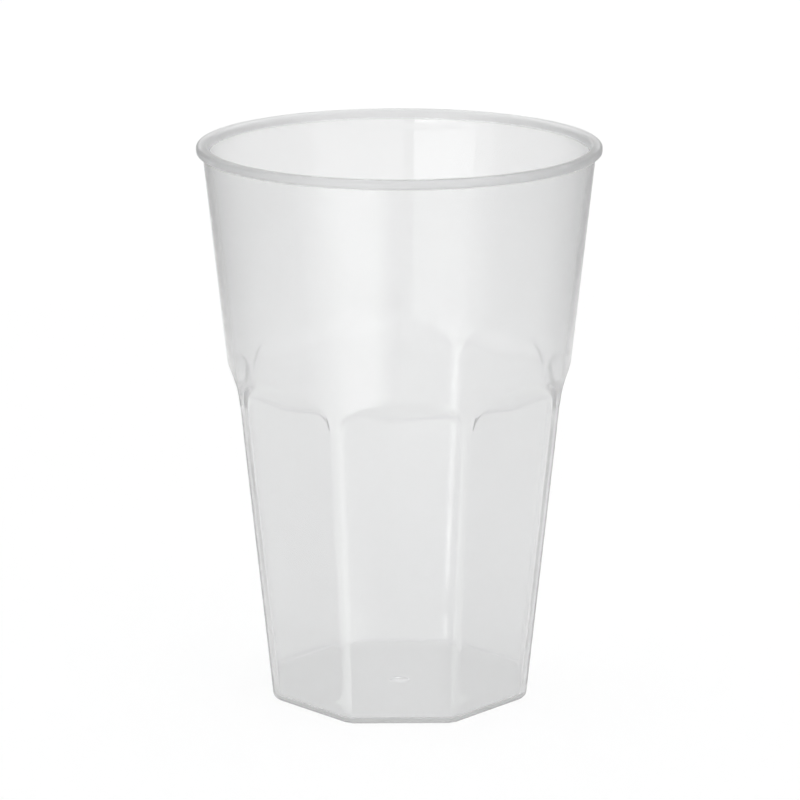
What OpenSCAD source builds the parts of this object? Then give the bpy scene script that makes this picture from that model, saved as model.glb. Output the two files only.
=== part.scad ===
// A clear moulded drinking cup: a round tapered wall that turns into flat
// facets with arched tops over the lower body, a rounded rim bead and a flat
// floor. It stands on its base, centred on the Z axis, with one facet to -Y.

/* [Cup] */
// Overall height, from the base to the top of the rim
cup_h = 117.9; // [100:0.1:150]
// Outside diameter of the round wall right under the rim
mouth_d = 81.4; // [72:0.1:100]
// Outside diameter of the round wall, carried down to the base
base_d = 57.1; // [48:0.1:68]
// Thickness of the wall
wall_t = 1.2; // [0.8:0.1:2]
// Thickness of the floor
floor_t = 1.2; // [1:0.1:3]
// Radius of the outer edge round the base
base_edge_r = 1.5; // [0.8:0.1:2.5]
// Radius inside, where the wall meets the floor
floor_edge_r = 0.6; // [0.3:0.1:2]

/* [Rim] */
// How far the rim bead stands out from the wall
rim_out = 1.3; // [0.8:0.1:3]
// Height of the rim bead
rim_h = 1.9; // [1.5:0.1:4]
// Radius on the edges of the rim bead
rim_edge_r = 0.7; // [0.3:0.05:0.7]

/* [Facets] */
// Number of flat facets round the lower body
facet_count = 8; // [6:2:12]
// Width of the round land left between two facets, at the base
land_w = 2.2; // [1:0.1:5]
// Height of the tops of the facets' arches above the base
arch_h = 71.7; // [45:0.1:90]
// Angle of the run-out above a facet to the cup's axis
runout_angle = 30; // [22:1:45]
// Radius of the hollow between a facet and its run-out
runout_r = 9; // [4:0.5:14]

/* [Gate] */
// Diameter of the dimple under the middle of the base
gate_d = 5; // [3:0.5:10]
// Depth of that dimple
gate_depth = 0.4; // [0.2:0.1:0.6]

/* [Hidden] */
$fn = 96;

// How far cutting shapes run past what they cut
overrun = 2;
// Slope left on the base edges where they reach the standing face
edge_stop_angle = 15;
// Steps in each arc of a section
arc_steps = 6;

// The round wall, from the base up to the underside of the rim bead
wall_h = cup_h - rim_h;
wall_slope = (mouth_d - base_d) / 2 / wall_h;
wall_angle = atan(wall_slope);
function wall_r(z) = base_d / 2 + wall_slope * z;

// The facets: planes that share the apex of the round wall's cone
land_half_angle = asin(land_w / base_d);
facet_half_angle = 180 / facet_count - land_half_angle;
flat_share = cos(facet_half_angle);
flat_slope = wall_slope * flat_share;
flat_angle = atan(flat_slope);
function flat_x(z) = flat_share * wall_r(z);

// The run-out: a slope from the top of the arch down to the facet, with a
// hollow of radius runout_r between the two
runout_slope = tan(runout_angle);
corner_z = (wall_r(arch_h) - runout_slope * arch_h - flat_x(0)) / (flat_slope - runout_slope);
tangent_l = runout_r * tan((runout_angle - flat_angle) / 2);
function outward(angle) = [cos(angle), -sin(angle)];
function upward(angle) = [sin(angle), cos(angle)];
hollow_c = [flat_x(corner_z), corner_z] - tangent_l * upward(flat_angle) + runout_r * outward(flat_angle);

// The rim bead's section
rim_r = mouth_d / 2 + rim_out;
rim_in_r = wall_r(wall_h) - wall_t / cos(wall_angle);
rim_w = rim_r - rim_in_r;

// How far out, and how far to each side, the shapes that cut the facets run
reach = rim_r + overrun;
facet_reach = wall_r(arch_h) * sin(facet_half_angle) + overrun;

// The gate dimple is a cap of a large ball
gate_r = (pow(gate_d / 2, 2) + pow(gate_depth, 2)) / (2 * gate_depth);

// Points along an arc, between two angles counted from +X
function arc(centre, radius, from, to) =
    [for (i = [0 : arc_steps]) let (t = from + (to - from) * i / arc_steps) centre + radius * [cos(t), sin(t)]];

// The rounded edge between a floor at foot_z and a side that leans out by
// angle and would stand side_x from the axis at height 0
function foot_edge(side_x, angle, foot_z, edge_r) =
    let (edge_z = foot_z + edge_r * cos(edge_stop_angle))
    let (edge_x = side_x + edge_z * tan(angle) - edge_r / cos(angle))
    arc([edge_x, edge_z], edge_r, edge_stop_angle - 90, -angle);

// Section of the round wall, moved in from its outer face by inset
module wall_section(inset, foot_z, edge_r, top_z) {
    side_x = wall_r(0) - inset / cos(wall_angle);
    polygon(concat(
        [[0, foot_z]],
        foot_edge(side_x, wall_angle, foot_z, edge_r),
        [[side_x + wall_slope * top_z, top_z], [0, top_z]]
    ));
}

// Section of what a facet and its run-out take off the wall, moved in by inset
module facet_section(inset, foot_z, edge_r) {
    edge = foot_edge(flat_x(0) - inset / cos(flat_angle), flat_angle, foot_z, edge_r);
    hollow = arc(hollow_c, runout_r + inset, 180 - flat_angle, 180 - runout_angle);
    runout_end = hollow[arc_steps];
    polygon(concat(
        [[edge[0].x, foot_z - overrun]],
        edge,
        hollow,
        [[reach, runout_end.y + (reach - runout_end.x) / runout_slope], [reach, foot_z - overrun]]
    ));
}

// The faceted body as a solid: the round wall cut back by every facet
module body(inset, foot_z, edge_r, top_z) {
    difference() {
        rotate_extrude()
            wall_section(inset, foot_z, edge_r, top_z);
        for (i = [0 : facet_count - 1])
            rotate(-90 + i * 360 / facet_count)
                rotate([90, 0, 0])
                    linear_extrude(height = 2 * facet_reach, center = true)
                        facet_section(inset, foot_z, edge_r);
    }
}

// The bead round the mouth, with three rounded edges
module rim() {
    rotate_extrude()
        translate([rim_in_r, wall_h]) {
            square([rim_w - rim_edge_r, rim_h - rim_edge_r]);
            translate([rim_edge_r, rim_edge_r])
                square([rim_w - 2 * rim_edge_r, rim_h - rim_edge_r]);
            translate([rim_edge_r, rim_edge_r])
                square([rim_w - rim_edge_r, rim_h - 2 * rim_edge_r]);
            for (at = [[rim_edge_r, rim_h - rim_edge_r], [rim_w - rim_edge_r, rim_h - rim_edge_r],
                       [rim_w - rim_edge_r, rim_edge_r]])
                translate(at)
                    circle(rim_edge_r);
        }
}

// The shallow dimple under the middle of the base
module gate_dimple() {
    translate([0, 0, gate_depth - gate_r])
        sphere(gate_r);
}

module cup() {
    color("whitesmoke") {
        difference() {
            body(0, 0, base_edge_r, wall_h);
            body(wall_t, floor_t, floor_edge_r, wall_h + overrun);
            gate_dimple();
        }
        rim();
    }
}

cup();
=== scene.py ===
"""A clear moulded drinking cup, dressed for a studio picture.

The cup is a round tapered wall that turns into flat facets with arched tops.
One facet's sector is modelled here, and a Geometry Nodes ring repeats it.
"""

import math

import bpy
from mathutils import Euler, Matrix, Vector


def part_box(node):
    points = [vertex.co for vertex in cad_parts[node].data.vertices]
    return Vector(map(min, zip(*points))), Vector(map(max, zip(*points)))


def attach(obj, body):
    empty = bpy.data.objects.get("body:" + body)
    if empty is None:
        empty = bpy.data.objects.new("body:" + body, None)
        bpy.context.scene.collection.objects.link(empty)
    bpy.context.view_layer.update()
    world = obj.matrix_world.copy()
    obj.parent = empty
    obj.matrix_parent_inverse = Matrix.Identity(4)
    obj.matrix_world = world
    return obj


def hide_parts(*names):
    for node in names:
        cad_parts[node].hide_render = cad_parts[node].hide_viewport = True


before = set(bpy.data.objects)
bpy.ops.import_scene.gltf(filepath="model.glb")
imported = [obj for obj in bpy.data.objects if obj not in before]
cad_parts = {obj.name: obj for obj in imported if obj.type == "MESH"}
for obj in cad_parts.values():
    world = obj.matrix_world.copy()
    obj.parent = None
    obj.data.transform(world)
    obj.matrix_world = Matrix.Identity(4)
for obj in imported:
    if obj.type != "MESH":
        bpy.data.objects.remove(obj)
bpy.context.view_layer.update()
CUP_LOW, CUP_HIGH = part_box("cup")

bl_info = {
    "name": "Faceted Drinking Cup",
    "version": (1, 0, 0),
    "blender": (4, 5, 0),
    "location": "View3D > Sidebar > Cup",
    "description": "Models a clear moulded cup with arched facets, and its studio",
    "category": "Object",
}

PIECE_NAME = "moulded_cup"

# Where the rows of the mesh lie, as shares of each stretch: close together at its edges
EDGE_STEPS = 7
FACET_SHARES = [0.01, 0.03, 0.1, 0.2, 0.3, 0.4, 0.5, 0.6, 0.7, 0.8, 0.9, 0.97, 1.0]
CREASE_SHARES = [0.25, 0.5, 0.75, 0.88, 0.95, 1.0]
RUNOUT_SHARES = [0.025, 0.05, 0.12, 0.25, 0.4, 0.55, 0.7, 0.8, 0.88, 0.94, 1.0]
WALL_SHARES = [
    0.006, 0.012, 0.02, 0.035, 0.07, 0.12, 0.2, 0.3, 0.42, 0.55, 0.68, 0.8, 0.9, 0.97, 1.0]
ARC_STEPS = 8
FACET_COLUMNS = 14
EDGE_COLUMNS = [-1.2, -0.9, -0.6, -0.3, -0.1, 0.0, 0.1, 0.3, 0.6, 0.9, 1.2]
LAND_COLUMNS = 3
GATE_COLUMNS = 6
GATE_ROWS = 5

# Columns at an edge: their reach into the facet, in softened widths,
# and the most of half a land that one such width takes
EDGE_REACH = 1.6
EDGE_LIMIT = 0.75

# Points of a sector are told apart to this many parts of a metre, and sectors are welded within this distance
POINT_PARTS = 1e8
WELD_DISTANCE = 1e-7

# Clouds and ripples in the plastic: scale and detail of the noise, its used range, height of the ripples
CLOUD_NOISE = (60.0, 3.0)
CLOUD_RANGE = (0.3, 0.7)
RIPPLE_NOISE = (70.0, 2.0)
RIPPLE_HEIGHT = 0.0002

# Where the milkier rim bead, with its painted shade, begins, from its lower edge
RIM_FADE = (-0.0006, 0.0002)

# The floor's glow, by place in metres: it narrows towards the back, fades to the sides,
# is less under the base and close round it, and is raised on the backdrop
NARROW_RUN, NARROW_RATES = (0.0, 0.3), (1.0, 1.75)
SIDE_FADE = (0.1, 0.4)
UNDER_EDGE = (0.027, 0.033)
CLOSE_RUN, CLOSE_SHARES = (0.03, 0.3), (0.68, 1.0)
BACK_RUN = (0.35, 1.0)

# The floor stands a little above the base's face, so that the two don't coincide, and the card above it
FLOOR_LIFT = 0.0001
CARD_LIFT = 0.001

# Faces passed times mirrorings, above which light has been mirrored inside the cup
INSIDE_DEPTH = 2.5

# How far round from the front the card on the floor reaches, to each side
CARD_REACH = math.radians(65)

# Patches of the card: least and greatest bearing in degrees, near and far radius
CARD_PATCHES = ((-65, 0, 0.06, 0.9), (-40, -22, 0.0315, 0.06), (22, 44, 0.0315, 0.17))

# Its brightness round the front, as shares of the reach and of the greatest brightness
CARD_FADE = ((0.25, 1.0), (0.375, 1.0), (0.475, 0.0), (0.66, 0.0), (0.7, 0.45), (0.8, 0.45))

# Low panels that light the rear lands:
# name, bearing from the front in degrees, distance, width, height, radiance
LAND_GLINTS = (
    ("far_left_glint", -46.8, 0.36, 0.2, 0.048, 3.5),
    ("near_left_glint", -47.5, 0.08, 0.045, 0.022, 4.5))


class CupSizes(bpy.types.PropertyGroup):
    """Sizes of the moulding, in metres."""

    height: bpy.props.FloatProperty(
        name="Height", description="From the base to the top of the rim",
        default=CUP_HIGH.z, unit="LENGTH")
    rim_radius: bpy.props.FloatProperty(
        name="Rim Radius", description="Outside radius of the rim bead",
        default=min(CUP_HIGH.x, CUP_HIGH.y), unit="LENGTH")
    mouth_radius: bpy.props.FloatProperty(
        name="Mouth Radius", description="Outside radius of the round wall right under the rim",
        default=0.0407, unit="LENGTH")
    base_radius: bpy.props.FloatProperty(
        name="Base Radius", description="Outside radius of the round wall, carried down to the base",
        default=0.02855, unit="LENGTH")
    wall: bpy.props.FloatProperty(
        name="Wall", description="Thickness of the wall", default=0.0012, unit="LENGTH")
    floor: bpy.props.FloatProperty(
        name="Floor", description="Thickness of the floor", default=0.0012, unit="LENGTH")
    base_edge: bpy.props.FloatProperty(
        name="Base Edge", description="Radius of the outer edge round the base",
        default=0.0015, unit="LENGTH")
    floor_edge: bpy.props.FloatProperty(
        name="Floor Edge", description="Radius inside, where the wall meets the floor",
        default=0.0006, unit="LENGTH")
    rim_height: bpy.props.FloatProperty(
        name="Rim Height", description="Height of the rim bead", default=0.0019, unit="LENGTH")
    rim_edge: bpy.props.FloatProperty(
        name="Rim Edge", description="Radius on the edges of the rim bead",
        default=0.0007, unit="LENGTH")
    rim_root: bpy.props.FloatProperty(
        name="Rim Root", description="Radius of the corner under the rim bead",
        default=0.0003, unit="LENGTH")
    facet_count: bpy.props.IntProperty(
        name="Facets", description="Number of flat facets round the lower body", default=8)
    land: bpy.props.FloatProperty(
        name="Land", description="Width of the round land between two facets, at the base",
        default=0.0022, unit="LENGTH")
    arch_height: bpy.props.FloatProperty(
        name="Arch Height", description="Height of the tops of the facets' arches above the base",
        default=0.0717, unit="LENGTH")
    arch_rise: bpy.props.FloatProperty(
        name="Arch Rise", description="Height of an arch from its feet to its top",
        default=0.007, unit="LENGTH")
    arch_fullness: bpy.props.FloatProperty(
        name="Arch Fullness", description="How square the arch is: 2 is an ellipse, more is squarer",
        default=2.4)
    runout_angle: bpy.props.FloatProperty(
        name="Run-out Angle", description="Angle of the slope above a facet to the cup's axis",
        default=math.radians(30), subtype="ANGLE")
    edge_blend: bpy.props.FloatVectorProperty(
        name="Edge Blend",
        description="How much the edges of the facets are softened, outside and inside",
        default=(0.00015, 0.00032), size=2, unit="LENGTH", precision=6)
    arch_blend: bpy.props.FloatVectorProperty(
        name="Arch Blend",
        description="How much the edges of the arches are softened, outside and inside",
        default=(0.0004, 0.0004), size=2, unit="LENGTH", precision=6)
    arch_drop: bpy.props.FloatProperty(
        name="Arch Drop",
        description="How much lower the arches are inside, where the wall is thicker along them",
        default=0.00056, unit="LENGTH", precision=6)
    arch_narrow: bpy.props.FloatProperty(
        name="Arch Narrowing", description="Width of the arches inside, as a share of the facet's",
        default=0.97)
    crease_blend: bpy.props.FloatVectorProperty(
        name="Crease Blend",
        description="How much the creases under the arches are softened, outside and inside",
        default=(0.00015, 0.0003), size=2, unit="LENGTH", precision=6)
    gate_radius: bpy.props.FloatProperty(
        name="Gate Radius", description="Radius of the dimple under the middle of the base",
        default=0.0025, unit="LENGTH")
    gate_depth: bpy.props.FloatProperty(
        name="Gate Depth", description="Depth of that dimple", default=0.0004, unit="LENGTH")


class CupFinish(bpy.types.PropertyGroup):
    """The clear plastic."""

    tint: bpy.props.FloatVectorProperty(
        name="Tint", description="Colour of the clear plastic", subtype="COLOR", size=3,
        min=0, max=1, default=(0.953, 0.955, 0.956))
    clearness: bpy.props.FloatProperty(
        name="Clearness",
        description="Share of the light that goes on straight at each face; the rest is milky",
        default=0.82)
    bend: bpy.props.FloatProperty(
        name="Bend", description="How much the plastic bends light: its refractive index", default=1.49)
    depth_tint: bpy.props.FloatVectorProperty(
        name="Depth Tint", description="Colour that light takes on inside the plastic",
        subtype="COLOR", size=3, min=0, max=1, default=(0.5, 0.51, 0.51))
    depth_density: bpy.props.FloatProperty(
        name="Depth Density", description="How fast the plastic takes up light, per metre",
        default=5.0)
    haze_low: bpy.props.FloatProperty(
        name="Least Haze", description="Roughness where the plastic is clearest", default=0.03)
    haze_high: bpy.props.FloatProperty(
        name="Most Haze", description="Roughness where the plastic is cloudiest", default=0.05)
    # Painted shade: the rim bead is given a greyer colour that stands in for the darker look of its thick
    # section under these lights
    rim_painted_shade: bpy.props.FloatVectorProperty(
        name="Rim Tint", description="Colour of the thick rim bead, which looks greyer",
        subtype="COLOR", size=3, min=0, max=1, default=(0.84, 0.843, 0.844))
    haze_rim: bpy.props.FloatProperty(
        name="Rim Haze", description="Roughness of the thick rim bead, which looks milkier",
        default=0.3)
    shadow_tint: bpy.props.FloatVectorProperty(
        name="Shadow Tint",
        description="Share of the light that each face lets on into the cup's shadow",
        subtype="COLOR", size=3, min=0, max=1, default=(0.955, 0.956, 0.957))
    ripple: bpy.props.FloatProperty(
        name="Ripple", description="Strength of the slight unevenness of the moulded faces",
        default=0.02)


class StudioSettings(bpy.types.PropertyGroup):
    """Camera, floor and lights."""

    camera_distance: bpy.props.FloatProperty(
        name="Camera Distance", description="From the cup's axis, along the floor",
        default=0.7076, unit="LENGTH")
    camera_height: bpy.props.FloatProperty(
        name="Camera Height", description="Above the floor", default=0.2474, unit="LENGTH")
    camera_pitch: bpy.props.FloatProperty(
        name="Camera Pitch", description="How far the camera looks down",
        default=0.2551, subtype="ANGLE")
    camera_azimuth: bpy.props.FloatProperty(
        name="Camera Azimuth", description="How far the camera stands round from the front facet",
        default=-0.013, subtype="ANGLE")
    lens: bpy.props.FloatProperty(
        name="Lens", description="Focal length on a 36 mm sensor, in millimetres", default=156.1)
    shift: bpy.props.FloatProperty(
        name="Shift", description="How far the picture is moved sideways, as a share of its width",
        default=0.00086)
    floor_glow: bpy.props.FloatProperty(
        name="Floor Glow",
        description="Light that the floor shows of its own to the camera, near the cup",
        default=0.553)
    back_glow: bpy.props.FloatProperty(
        name="Back Glow", description="The same on the backdrop, which the lamps reach less",
        default=0.6)
    middle_glow: bpy.props.FloatProperty(
        name="Middle Glow",
        description="Light of its own that shows through the cup and in its gloss, behind the middle",
        default=0.474)
    under_share: bpy.props.FloatProperty(
        name="Under Share", description="Share of that light that is left under the cup's base",
        default=0.47)
    floor_colour: bpy.props.FloatVectorProperty(
        name="Floor Colour", description="Colour of the floor", subtype="COLOR", size=3,
        min=0, max=1, default=(0.42, 0.42, 0.42))
    card_glow: bpy.props.FloatProperty(
        name="Card Glow", description="Brightness of the card in front, at its middle", default=1.28)
    card_edge: bpy.props.FloatProperty(
        name="Card Edge", description="Brightness of the card in front, at its edges", default=0.75)
    room_light: bpy.props.FloatProperty(
        name="Room Light", description="Even light from all round", default=0.35)


def smooth_min(first, second, blend):
    """The lesser of two lengths, with a rounded change from one to the other."""
    overlap = max(blend - abs(first - second), 0.0)
    return min(first, second) - overlap * overlap / (4 * blend)


def smooth_max(first, second, blend):
    """The greater of two lengths, with the same rounded change."""
    return -smooth_min(-first, -second, blend)


def spread(low, high, shares):
    """Values between two ends, at the given shares of the way."""
    return [low + (high - low) * share for share in shares]


def even_shares(count):
    """Shares from 0 to 1 in equal steps."""
    return [i / count for i in range(count + 1)]


def arc(centre_r, centre_z, radius, start, end, steps):
    """Points (r, z) along an arc, between two angles in degrees counted from outwards."""
    points = []
    for turn in spread(math.radians(start), math.radians(end), even_shares(steps)):
        points.append((centre_r + radius * math.cos(turn), centre_z + radius * math.sin(turn)))
    return points


class WallFace:
    """One face of the wall: its distance from the axis at any angle and height."""

    def __init__(self, sizes, inset, foot, edge, edge_blend, arch_blend, crease_blend):
        wall_height = sizes.height - sizes.rim_height
        self.slope = (sizes.mouth_radius - sizes.base_radius) / wall_height
        land_angle = math.asin(sizes.land / (2 * sizes.base_radius))
        flat_share = math.cos(math.pi / sizes.facet_count - land_angle)
        self.flat_slope = self.slope * flat_share
        flat_lean = math.atan(self.flat_slope)
        self.round_start = sizes.base_radius - inset / math.cos(math.atan(self.slope))
        self.flat_start = sizes.base_radius * flat_share - inset / math.cos(flat_lean)
        self.foot = foot
        self.edge = edge
        self.edge_blend = edge_blend
        self.arch_blend = arch_blend
        self.crease_blend = crease_blend
        self.arch_rise = sizes.arch_rise
        self.fullness = sizes.arch_fullness

        # Above its crease the run-out leaves the facet's plane at this rate
        self.rate = math.tan(sizes.runout_angle) - self.flat_slope
        lift = inset * (1 / math.cos(sizes.runout_angle) - 1 / math.cos(flat_lean)) / self.rate
        self.arch_foot = sizes.arch_height + lift - sizes.arch_rise
        self.arch_width = 1.0
        if inset:
            self.arch_foot -= sizes.arch_drop
            self.arch_width = sizes.arch_narrow
        self.facet_angle = math.acos(
            (self.flat_start + self.flat_slope * self.arch_foot)
            / (self.round_start + self.slope * self.arch_foot))

    def side(self, start, slope, z):
        """Distance to a straight side that leans by slope, with the rounded edge at its foot."""
        centre_z = self.foot + self.edge
        lean = math.atan(slope)
        if z >= centre_z - self.edge * math.sin(lean):
            return start + slope * z
        centre_r = start + slope * centre_z - self.edge / math.cos(lean)
        return centre_r + math.sqrt(max(self.edge ** 2 - (centre_z - z) ** 2, 0.0))

    def arch(self, angle):
        """Height at which the run-out meets the round wall."""
        across = min(abs(math.tan(angle)) / math.tan(self.facet_angle) / self.arch_width, 1.0)
        return self.arch_foot + self.arch_rise * (1 - across ** self.fullness) ** (1 / self.fullness)

    def crease(self, angle):
        """Height at which the run-out leaves the facet."""
        arch = self.arch(angle)
        gap = (self.round_start + self.slope * arch) * math.cos(angle)
        gap -= self.flat_start + self.flat_slope * arch
        return max(arch - max(gap, 0.0) / self.rate, self.arch_foot)

    def radius(self, angle, z):
        """Distance from the axis to the face."""
        flat = self.side(self.flat_start, self.flat_slope, z)
        runout = flat + self.rate * (z - self.crease(angle))
        facet = smooth_max(flat, runout, self.crease_blend) / math.cos(angle)
        share = min(max((z - self.arch_foot) / self.arch_rise + 1.0, 0.0), 1.0)
        blend = self.edge_blend + (self.arch_blend - self.edge_blend) * share
        return smooth_min(self.side(self.round_start, self.slope, z), facet, blend)

    def edge_heights(self, steps):
        """Heights of the rows over the rounded edge at the foot."""
        lean = math.degrees(math.atan(self.flat_slope))
        return [z for _, z in arc(0.0, self.foot + self.edge, self.edge, -90, -lean, steps)]

    def heights(self, angle, top):
        """Heights of all the rows from the foot to the top, the same number at every angle."""
        edge_rows = self.edge_heights(EDGE_STEPS)
        crease, arch = self.crease(angle), self.arch(angle)
        rows = list(edge_rows)
        rows += spread(edge_rows[-1], self.arch_foot, FACET_SHARES)
        rows += spread(self.arch_foot, crease, CREASE_SHARES)
        rows += spread(crease, arch, RUNOUT_SHARES)
        rows += spread(arch, top, WALL_SHARES)
        return rows


def column_angles(face, sizes):
    """Angles of the mesh's columns across one sector, close together at the facet's edges."""
    half = math.pi / sizes.facet_count
    soft = face.edge_blend / math.tan(face.facet_angle) / sizes.base_radius
    soft = min(soft, EDGE_LIMIT * (half - face.facet_angle))
    inner_edge = face.facet_angle - EDGE_REACH * soft
    right = []
    for share in even_shares(FACET_COLUMNS)[1:]:
        across = math.sin(share * math.pi / 2)
        right.append(math.atan(math.tan(inner_edge) * across))
    right += [face.facet_angle + soft * step for step in EDGE_COLUMNS]
    right += spread(right[-1], half, even_shares(LAND_COLUMNS)[1:])
    return [-angle for angle in reversed(right)] + [0.0] + right


def rim_outline(sizes, outer, inner):
    """Points (r, z) over the rim, from the corner under the bead to the inner face."""
    under = sizes.height - sizes.rim_height
    edge, root = sizes.rim_edge, sizes.rim_root
    outer_r = sizes.rim_radius - edge
    inner_r = inner.round_start + inner.slope * (sizes.height - edge) + edge
    root_r = outer.round_start + outer.slope * (under - root) + root
    points = arc(root_r, under - root, root, 180, 90, ARC_STEPS // 2)[1:]
    points += arc(outer_r, under + edge, edge, -90, 0, ARC_STEPS)
    points += arc(outer_r, sizes.height - edge, edge, 0, 90, ARC_STEPS)
    points += arc(inner_r, sizes.height - edge, edge, 90, 180, ARC_STEPS)
    return points[:-1]


def column_points(outer_angle, inner_angle, sizes, outer, inner):
    """One column of the mesh, up the outer face, over the rim and down the inner face."""
    under = sizes.height - sizes.rim_height
    points = []
    for z in outer.heights(outer_angle, under - sizes.rim_root):
        points.append((outer_angle, outer.radius(outer_angle, z), z))
    for r, z in rim_outline(sizes, outer, inner):
        points.append((outer_angle, r, z))
    top = sizes.height - sizes.rim_edge
    arch = inner.arch(inner_angle)
    for z in reversed(inner.heights(inner_angle, top)):
        share = min(max((z - arch) / (top - arch), 0.0), 1.0)
        angle = inner_angle + (outer_angle - inner_angle) * share
        points.append((angle, inner.radius(inner_angle, z), z))
    return [place(*point) for point in points]


def place(angle, radius, z):
    """A point of the sector that faces -Y."""
    return (radius * math.sin(angle), -radius * math.cos(angle), z)


class SectorMesh:
    """Collects the points and faces of one sector, with equal points shared."""

    def __init__(self):
        self.points = []
        self.faces = []
        self.found = {}

    def point(self, position):
        key = tuple(round(value * POINT_PARTS) for value in position)
        if key not in self.found:
            self.found[key] = len(self.points)
            self.points.append(position)
        return self.found[key]

    def face(self, positions):
        corners = []
        for position in positions:
            corner = self.point(position)
            if corner not in corners:
                corners.append(corner)
        if len(corners) > 2:
            self.faces.append(corners)

    def skin(self, columns):
        """Faces between neighbouring columns of points."""
        for left, right in zip(columns, columns[1:]):
            for row in range(len(left) - 1):
                self.face((left[row], right[row], right[row + 1], left[row + 1]))


def gate_columns(sizes):
    """Columns over the dimple under the base, from its middle out to its edge."""
    half = math.pi / sizes.facet_count
    ball = (sizes.gate_radius ** 2 + sizes.gate_depth ** 2) / (2 * sizes.gate_depth)
    columns = []
    for angle in spread(-half, half, even_shares(GATE_COLUMNS)):
        column = []
        for r in spread(0.0, sizes.gate_radius, even_shares(GATE_ROWS)):
            column.append(place(angle, r, math.sqrt(ball ** 2 - r ** 2) - ball + sizes.gate_depth))
        columns.append(column)
    return columns


def sector_mesh(sizes):
    """The mesh of one facet with half a land on each side, from base to rim to floor."""
    outer = WallFace(
        sizes, 0.0, 0.0, sizes.base_edge,
        sizes.edge_blend[0], sizes.arch_blend[0], sizes.crease_blend[0])
    inner = WallFace(
        sizes, sizes.wall, sizes.floor, sizes.floor_edge,
        sizes.edge_blend[1], sizes.arch_blend[1], sizes.crease_blend[1])
    sector = SectorMesh()
    columns = []
    for outer_angle, inner_angle in zip(column_angles(outer, sizes), column_angles(inner, sizes)):
        columns.append(column_points(outer_angle, inner_angle, sizes, outer, inner))
    sector.skin(columns)
    gate = gate_columns(sizes)
    sector.skin(gate)
    sector.face([column[0] for column in reversed(columns)] + [column[-1] for column in gate])
    sector.face([(0.0, 0.0, sizes.floor)] + [column[-1] for column in columns])
    mesh = bpy.data.meshes.new("facet_sector")
    mesh.from_pydata(sector.points, [], sector.faces)
    mesh.validate()
    return mesh


def new_node(tree, kind, **values):
    """Adds a node and sets its plain properties."""
    node = tree.nodes.new(kind)
    for name, value in values.items():
        setattr(node, name, value)
    return node


def map_range(tree, source, target, kind="LINEAR"):
    """Adds a Map Range node that takes one pair of ends to another."""
    node = new_node(tree, "ShaderNodeMapRange", interpolation_type=kind)
    for name, value in zip(("From Min", "From Max", "To Min", "To Max"), (*source, *target)):
        node.inputs[name].default_value = value
    return node


def noise(tree, scale, detail):
    """Adds a noise texture."""
    node = new_node(tree, "ShaderNodeTexNoise")
    node.inputs["Scale"].default_value = scale
    node.inputs["Detail"].default_value = detail
    return node


def facet_ring_tree():
    """Geometry Nodes that repeat a sector round the axis and weld it into one body."""
    tree = bpy.data.node_groups.new("FacetRing", "GeometryNodeTree")
    sockets = tree.interface
    sockets.new_socket("Geometry", in_out="INPUT", socket_type="NodeSocketGeometry")
    sockets.new_socket("Facets", in_out="INPUT", socket_type="NodeSocketInt")
    sockets.new_socket("Weld Distance", in_out="INPUT", socket_type="NodeSocketFloat")
    sockets.new_socket("Material", in_out="INPUT", socket_type="NodeSocketMaterial")
    sockets.new_socket("Geometry", in_out="OUTPUT", socket_type="NodeSocketGeometry")
    given = new_node(tree, "NodeGroupInput")
    result = new_node(tree, "NodeGroupOutput")
    points = new_node(tree, "GeometryNodePoints")
    index = new_node(tree, "GeometryNodeInputIndex")
    share = new_node(tree, "ShaderNodeMath", operation="DIVIDE")
    turn = new_node(tree, "ShaderNodeMath", operation="MULTIPLY")
    turn.inputs[1].default_value = 2 * math.pi
    axis = new_node(tree, "ShaderNodeCombineXYZ")
    rotation = new_node(tree, "FunctionNodeEulerToRotation")
    repeat = new_node(tree, "GeometryNodeInstanceOnPoints")
    realize = new_node(tree, "GeometryNodeRealizeInstances")
    weld = new_node(tree, "GeometryNodeMergeByDistance")
    smooth = new_node(tree, "GeometryNodeSetShadeSmooth")
    paint = new_node(tree, "GeometryNodeSetMaterial")
    link = tree.links.new
    link(given.outputs["Facets"], points.inputs["Count"])
    link(index.outputs["Index"], share.inputs[0])
    link(given.outputs["Facets"], share.inputs[1])
    link(share.outputs[0], turn.inputs[0])
    link(turn.outputs[0], axis.inputs["Z"])
    link(axis.outputs["Vector"], rotation.inputs["Euler"])
    link(points.outputs["Points"], repeat.inputs["Points"])
    link(given.outputs["Geometry"], repeat.inputs["Instance"])
    link(rotation.outputs["Rotation"], repeat.inputs["Rotation"])
    link(repeat.outputs["Instances"], realize.inputs["Geometry"])
    link(realize.outputs["Geometry"], weld.inputs["Geometry"])
    link(given.outputs["Weld Distance"], weld.inputs["Distance"])
    link(weld.outputs["Geometry"], smooth.inputs["Geometry"])
    link(smooth.outputs["Geometry"], paint.inputs["Geometry"])
    link(given.outputs["Material"], paint.inputs["Material"])
    link(paint.outputs["Geometry"], result.inputs["Geometry"])
    return tree


def set_input(modifier, name, value):
    """Sets a Geometry Nodes input by its socket's identifier."""
    for item in modifier.node_group.interface.items_tree:
        if item.item_type == "SOCKET" and item.in_out == "INPUT" and item.name == name:
            modifier[item.identifier] = value
            return
    raise KeyError(name)


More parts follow.
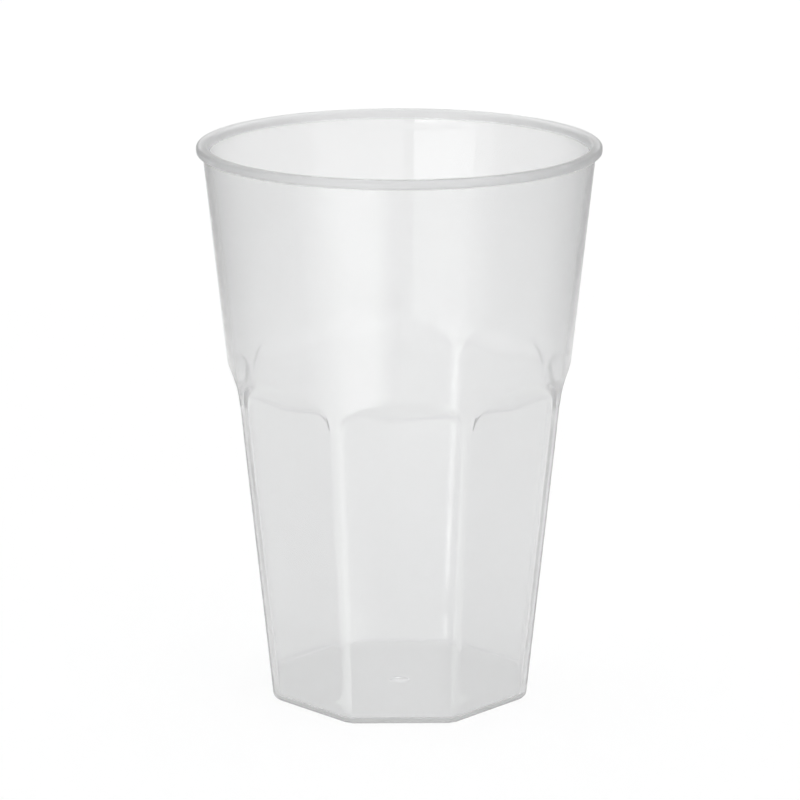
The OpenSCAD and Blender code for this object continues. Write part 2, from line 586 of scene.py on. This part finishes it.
def clear_plastic(finish, rim_low):
    """Clear moulded plastic: slightly cloudy, more so in the rim bead, with faint ripples; the rim bead also
    gets painted shade, a greyer colour.
    """
    material = bpy.data.materials.new("clear_plastic")
    material.use_nodes = True
    tree = material.node_tree
    tree.nodes.clear()
    link = tree.links.new
    place_on = new_node(tree, "ShaderNodeTexCoord")
    cloud = noise(tree, *CLOUD_NOISE)
    haze = map_range(tree, CLOUD_RANGE, (finish.haze_low, finish.haze_high))
    parts = new_node(tree, "ShaderNodeSeparateXYZ")
    rim_ends = [rim_low + offset for offset in RIM_FADE]
    rim = map_range(tree, rim_ends, (0.0, 1.0), "SMOOTHSTEP")
    rim_haze = new_node(tree, "ShaderNodeMath", operation="MULTIPLY")
    rim_haze.inputs[1].default_value = finish.haze_rim
    rough = new_node(tree, "ShaderNodeMath", operation="MAXIMUM")
    # The colour turns greyer on the rim bead: painted shade, mixed in by the rim mask
    shade = new_node(tree, "ShaderNodeMix", data_type="RGBA")
    shade.inputs["A"].default_value = (*finish.tint, 1.0)
    shade.inputs["B"].default_value = (*finish.rim_painted_shade, 1.0)
    wave = noise(tree, *RIPPLE_NOISE)
    ripple = new_node(tree, "ShaderNodeBump")
    ripple.inputs["Strength"].default_value = finish.ripple
    ripple.inputs["Distance"].default_value = RIPPLE_HEIGHT
    plastic = new_node(tree, "ShaderNodeBsdfPrincipled")
    plastic.inputs["IOR"].default_value = finish.bend
    plastic.inputs["Transmission Weight"].default_value = finish.clearness
    depth = new_node(tree, "ShaderNodeVolumeAbsorption")
    depth.inputs["Color"].default_value = (*finish.depth_tint, 1.0)
    depth.inputs["Density"].default_value = finish.depth_density
    rays = new_node(tree, "ShaderNodeLightPath")
    passing = new_node(tree, "ShaderNodeBsdfTransparent")
    passing.inputs["Color"].default_value = (*finish.shadow_tint, 1.0)
    choice = new_node(tree, "ShaderNodeMixShader")
    result = new_node(tree, "ShaderNodeOutputMaterial")
    link(place_on.outputs["Object"], cloud.inputs["Vector"])
    link(place_on.outputs["Object"], wave.inputs["Vector"])
    link(cloud.outputs["Fac"], haze.inputs["Value"])
    link(place_on.outputs["Object"], parts.inputs["Vector"])
    link(parts.outputs["Z"], rim.inputs["Value"])
    link(haze.outputs["Result"], rough.inputs[0])
    link(rim.outputs["Result"], rim_haze.inputs[0])
    link(rim_haze.outputs[0], rough.inputs[1])
    link(rim.outputs["Result"], shade.inputs["Factor"])
    link(shade.outputs["Result"], plastic.inputs["Base Color"])
    link(rough.outputs[0], plastic.inputs["Roughness"])
    link(wave.outputs["Fac"], ripple.inputs["Height"])
    link(ripple.outputs["Normal"], plastic.inputs["Normal"])
    link(rays.outputs["Is Shadow Ray"], choice.inputs["Fac"])
    link(plastic.outputs["BSDF"], choice.inputs[1])
    link(passing.outputs["BSDF"], choice.inputs[2])
    link(choice.outputs["Shader"], result.inputs["Surface"])
    link(depth.outputs["Volume"], result.inputs["Volume"])
    return material


def pale_floor(studio):
    """A matt sweep, white to the camera and bright behind the cup, that keeps shadows."""
    material = bpy.data.materials.new("pale_floor")
    material.use_nodes = True
    tree = material.node_tree
    tree.nodes.clear()
    link = tree.links.new
    rays = new_node(tree, "ShaderNodeLightPath")
    place_on = new_node(tree, "ShaderNodeTexCoord")
    parts = new_node(tree, "ShaderNodeSeparateXYZ")
    sideways = new_node(tree, "ShaderNodeMath", operation="ABSOLUTE")
    narrow = map_range(tree, NARROW_RUN, NARROW_RATES)
    aside = new_node(tree, "ShaderNodeMath", operation="MULTIPLY")
    middle = map_range(tree, SIDE_FADE, (studio.middle_glow, 0.0), "SMOOTHSTEP")
    away = new_node(tree, "ShaderNodeVectorMath", operation="LENGTH")
    under = map_range(tree, UNDER_EDGE, (studio.under_share, 1.0), "SMOOTHSTEP")
    close = map_range(tree, CLOSE_RUN, CLOSE_SHARES)
    dimmed = new_node(tree, "ShaderNodeMath", operation="MULTIPLY")
    darkened = new_node(tree, "ShaderNodeMath", operation="MULTIPLY")
    through = new_node(tree, "ShaderNodeMath", operation="MAXIMUM")
    shown = new_node(tree, "ShaderNodeMath", operation="MULTIPLY")
    strength = new_node(tree, "ShaderNodeMath", operation="MULTIPLY_ADD")
    white = map_range(tree, BACK_RUN, (studio.floor_glow, studio.back_glow))
    matt = new_node(tree, "ShaderNodeBsdfDiffuse")
    matt.inputs["Color"].default_value = (*studio.floor_colour, 1.0)
    glow = new_node(tree, "ShaderNodeEmission")
    both = new_node(tree, "ShaderNodeAddShader")
    result = new_node(tree, "ShaderNodeOutputMaterial")
    link(place_on.outputs["Object"], parts.inputs["Vector"])
    link(parts.outputs["X"], sideways.inputs[0])
    link(parts.outputs["Y"], narrow.inputs["Value"])
    link(sideways.outputs[0], aside.inputs[0])
    link(narrow.outputs["Result"], aside.inputs[1])
    link(aside.outputs[0], middle.inputs["Value"])
    link(rays.outputs["Is Glossy Ray"], through.inputs[0])
    link(rays.outputs["Is Transmission Ray"], through.inputs[1])
    link(through.outputs[0], shown.inputs[0])
    link(place_on.outputs["Object"], away.inputs[0])
    link(away.outputs["Value"], under.inputs["Value"])
    link(middle.outputs["Result"], dimmed.inputs[0])
    link(under.outputs["Result"], dimmed.inputs[1])
    link(away.outputs["Value"], close.inputs["Value"])
    link(dimmed.outputs[0], darkened.inputs[0])
    link(close.outputs["Result"], darkened.inputs[1])
    link(darkened.outputs[0], shown.inputs[1])
    link(rays.outputs["Is Camera Ray"], strength.inputs[0])
    link(parts.outputs["Y"], white.inputs["Value"])
    link(white.outputs["Result"], strength.inputs[1])
    link(shown.outputs[0], strength.inputs[2])
    link(strength.outputs[0], glow.inputs["Strength"])
    link(matt.outputs["BSDF"], both.inputs[0])
    link(glow.outputs["Emission"], both.inputs[1])
    link(both.outputs["Shader"], result.inputs["Surface"])
    return material


def soft_card(studio):
    """A glowing card, brightest to the left of the cup's front, with a fainter patch on the right."""
    material = bpy.data.materials.new("soft_card")
    material.use_nodes = True
    tree = material.node_tree
    tree.nodes.clear()
    link = tree.links.new
    place_on = new_node(tree, "ShaderNodeTexCoord")
    parts = new_node(tree, "ShaderNodeSeparateXYZ")
    ahead = new_node(tree, "ShaderNodeMath", operation="MULTIPLY")
    ahead.inputs[1].default_value = -1.0
    bearing = new_node(tree, "ShaderNodeMath", operation="ARCTAN2")
    across = map_range(tree, (-CARD_REACH, CARD_REACH), (0.0, 1.0))
    fade = new_node(tree, "ShaderNodeValToRGB")
    stops = fade.color_ramp.elements
    stops[0].position = 0.02
    stops[1].position = 0.85
    stops[1].color = (0.0, 0.0, 0.0, 1.0)
    for position, share in CARD_FADE:
        stops.new(position).color = (share, share, share, 1.0)
    level = new_node(tree, "ShaderNodeMath", operation="MULTIPLY_ADD")
    level.inputs[1].default_value = studio.card_glow
    level.inputs[2].default_value = studio.card_edge
    glow = new_node(tree, "ShaderNodeEmission")
    rays = new_node(tree, "ShaderNodeLightPath")
    mirrored = new_node(tree, "ShaderNodeMath", operation="GREATER_THAN")
    mirrored.inputs[1].default_value = 0.5
    clear = new_node(tree, "ShaderNodeBsdfTransparent")
    choice = new_node(tree, "ShaderNodeMixShader")
    result = new_node(tree, "ShaderNodeOutputMaterial")
    link(place_on.outputs["Object"], parts.inputs["Vector"])
    link(parts.outputs["Y"], ahead.inputs[0])
    link(parts.outputs["X"], bearing.inputs[0])
    link(ahead.outputs[0], bearing.inputs[1])
    link(bearing.outputs[0], across.inputs["Value"])
    link(across.outputs["Result"], fade.inputs["Fac"])
    link(fade.outputs["Color"], level.inputs[0])
    link(level.outputs[0], glow.inputs["Strength"])
    link(rays.outputs["Glossy Depth"], mirrored.inputs[0])
    link(mirrored.outputs[0], choice.inputs["Fac"])
    link(clear.outputs["BSDF"], choice.inputs[1])
    link(glow.outputs["Emission"], choice.inputs[2])
    link(choice.outputs["Shader"], result.inputs["Surface"])
    return material


def soft_box(name, place_at, aim, width, height, radiance):
    """A soft area light of even brightness, turned to face a point."""
    light = bpy.data.lights.new(name, "AREA")
    light.shape = "RECTANGLE"
    light.size = width
    light.size_y = height
    light.energy = radiance * math.pi * width * height
    lamp = bpy.data.objects.new(name, light)
    bpy.context.scene.collection.objects.link(lamp)
    lamp.location = place_at
    lamp.rotation_euler = (Vector(aim) - Vector(place_at)).to_track_quat("-Z", "Y").to_euler()
    return lamp


def land_glint(name, bearing, distance, width, height, radiance):
    """A low panel that shows only in light mirrored inside the cup, as on the rear lands."""
    place_at = (distance * math.sin(bearing), -distance * math.cos(bearing), height / 2)
    lamp = soft_box(name, place_at, (0.0, 0.0, height / 2), width, height, radiance)
    lamp.data.use_nodes = True
    tree = lamp.data.node_tree
    rays = new_node(tree, "ShaderNodeLightPath")
    both = new_node(tree, "ShaderNodeMath", operation="MULTIPLY")
    inside = new_node(tree, "ShaderNodeMath", operation="GREATER_THAN")
    inside.inputs[1].default_value = INSIDE_DEPTH
    tree.links.new(rays.outputs["Transmission Depth"], both.inputs[0])
    tree.links.new(rays.outputs["Glossy Depth"], both.inputs[1])
    tree.links.new(both.outputs[0], inside.inputs[0])
    tree.links.new(inside.outputs[0], tree.nodes["Emission"].inputs["Strength"])


class CUP_OT_mould(bpy.types.Operator):
    """Models the cup as one moulding and puts it in the place of the plain solid"""

    bl_idname = "cup.mould"
    bl_label = "Mould Cup"

    def execute(self, context):
        sizes = context.scene.cup_sizes
        plastic = clear_plastic(context.scene.cup_finish, sizes.height - sizes.rim_height)
        sector = bpy.data.objects.new("facet_sector", sector_mesh(sizes))
        context.scene.collection.objects.link(sector)
        ring = sector.modifiers.new("FacetRing", "NODES")
        ring.node_group = facet_ring_tree()
        set_input(ring, "Facets", sizes.facet_count)
        set_input(ring, "Weld Distance", WELD_DISTANCE)
        set_input(ring, "Material", plastic)
        shading = sector.modifiers.new("EvenShading", "WEIGHTED_NORMAL")
        shading.mode = "FACE_AREA"
        shading.keep_sharp = False
        whole = sector.evaluated_get(context.evaluated_depsgraph_get())
        mesh = bpy.data.meshes.new_from_object(whole)
        mesh.name = PIECE_NAME
        cup = bpy.data.objects.new(PIECE_NAME, mesh)
        context.scene.collection.objects.link(cup)
        bpy.data.objects.remove(sector)
        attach(cup, "root")
        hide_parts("cup")
        return {"FINISHED"}


class CUP_OT_studio(bpy.types.Operator):
    """Makes the pale floor, the soft lights, the room and the camera"""

    bl_idname = "cup.studio"
    bl_label = "Set Up Studio"

    def execute(self, context):
        studio = context.scene.cup_studio
        self.add_floor(context, studio)
        self.add_card(context, studio)
        self.add_lights(context, studio)
        self.add_camera(context, studio)
        context.scene.view_settings.view_transform = "Standard"
        return {"FINISHED"}

    def add_floor(self, context, studio):
        half_width, near, far, bend, top = 1.2, -1.2, 1.0, 0.5, 1.6
        line = [(near, 0.0)] + arc(far, bend, bend, -90, 0, 12) + [(far + bend, top)]
        corners, faces = [], []
        for y, z in line:
            corners += [(-half_width, y, z), (half_width, y, z)]
        for row in range(0, len(corners) - 2, 2):
            faces.append((row, row + 1, row + 3, row + 2))
        mesh = bpy.data.meshes.new("studio_floor")
        mesh.from_pydata(corners, [], faces)
        mesh.shade_smooth()
        mesh.materials.append(pale_floor(studio))
        floor = bpy.data.objects.new("studio_floor", mesh)
        context.scene.collection.objects.link(floor)
        floor.location.z = FLOOR_LIFT

    def add_card(self, context, studio):
        """A card on the floor in front, out of the picture, that only the gloss on the cup shows."""
        corners, faces = [], []
        for low, high, near, far in CARD_PATCHES:
            bearings = spread(math.radians(low), math.radians(high), even_shares(12))
            line = [place(bearing, near, CARD_LIFT) for bearing in bearings]
            line += [place(bearing, far, CARD_LIFT) for bearing in reversed(bearings)]
            faces.append(tuple(range(len(corners), len(corners) + len(line))))
            corners += line
        mesh = bpy.data.meshes.new("front_card")
        mesh.from_pydata(corners, [], faces)
        mesh.materials.append(soft_card(studio))
        card = bpy.data.objects.new("front_card", mesh)
        context.scene.collection.objects.link(card)
        card.visible_camera = False
        card.visible_diffuse = False
        card.visible_shadow = False

    def add_lights(self, context, studio):
        middle = (0.0, 0.0, CUP_HIGH.z / 2)
        soft_box("key_light", (-0.45, -0.78, 0.11), middle, 0.655, 0.22, 2.6)
        soft_box("key_side_light", (-0.755, -0.49, 0.11), middle, 0.22, 0.22, 1.1)
        for name, bearing, distance, width, height, radiance in LAND_GLINTS:
            land_glint(name, math.radians(bearing), distance, width, height, radiance)
        soft_box("fill_light", (0.7, -1.45, 0.62), middle, 2.0, 1.2, 1.0)
        soft_box("top_light", (0.0, 0.3, 1.2), middle, 2.6, 2.6, 1.15)
        world = bpy.data.worlds.new("room")
        world.use_nodes = True
        tree = world.node_tree
        room = tree.nodes["Background"]
        room.inputs["Color"].default_value = (1.0, 1.0, 1.0, 1.0)
        rays = new_node(tree, "ShaderNodeLightPath")
        level = new_node(tree, "ShaderNodeMath", operation="MAXIMUM")
        level.inputs[1].default_value = studio.room_light
        tree.links.new(rays.outputs["Is Camera Ray"], level.inputs[0])
        tree.links.new(level.outputs[0], room.inputs["Strength"])
        context.scene.world = world

    def add_camera(self, context, studio):
        data = bpy.data.cameras.new("camera")
        data.sensor_width = 36.0
        data.lens = studio.lens
        data.shift_x = studio.shift
        camera = bpy.data.objects.new("camera", data)
        context.scene.collection.objects.link(camera)
        turn = studio.camera_azimuth
        camera.location = (
            studio.camera_distance * math.sin(turn),
            -studio.camera_distance * math.cos(turn),
            studio.camera_height)
        camera.rotation_euler = Euler((math.pi / 2 - studio.camera_pitch, 0.0, turn))
        context.scene.camera = camera


class CUP_PT_panel(bpy.types.Panel):
    """Sizes, finish and studio of the cup"""

    bl_label = "Faceted Cup"
    bl_idname = "CUP_PT_panel"
    bl_space_type = "VIEW_3D"
    bl_region_type = "UI"
    bl_category = "Cup"

    def draw(self, context):
        layout = self.layout
        for group in (context.scene.cup_sizes, context.scene.cup_finish, context.scene.cup_studio):
            box = layout.box()
            for name in group.__annotations__:
                box.prop(group, name)
        layout.operator(CUP_OT_mould.bl_idname)
        layout.operator(CUP_OT_studio.bl_idname)


CLASSES = (CupSizes, CupFinish, StudioSettings, CUP_OT_mould, CUP_OT_studio, CUP_PT_panel)


def register():
    for cls in CLASSES:
        bpy.utils.register_class(cls)
    bpy.types.Scene.cup_sizes = bpy.props.PointerProperty(type=CupSizes)
    bpy.types.Scene.cup_finish = bpy.props.PointerProperty(type=CupFinish)
    bpy.types.Scene.cup_studio = bpy.props.PointerProperty(type=StudioSettings)


def unregister():
    del bpy.types.Scene.cup_studio
    del bpy.types.Scene.cup_finish
    del bpy.types.Scene.cup_sizes
    for cls in reversed(CLASSES):
        bpy.utils.unregister_class(cls)


def main():
    register()
    bpy.ops.cup.mould()
    bpy.ops.cup.studio()


if __name__ == "__main__":
    main()
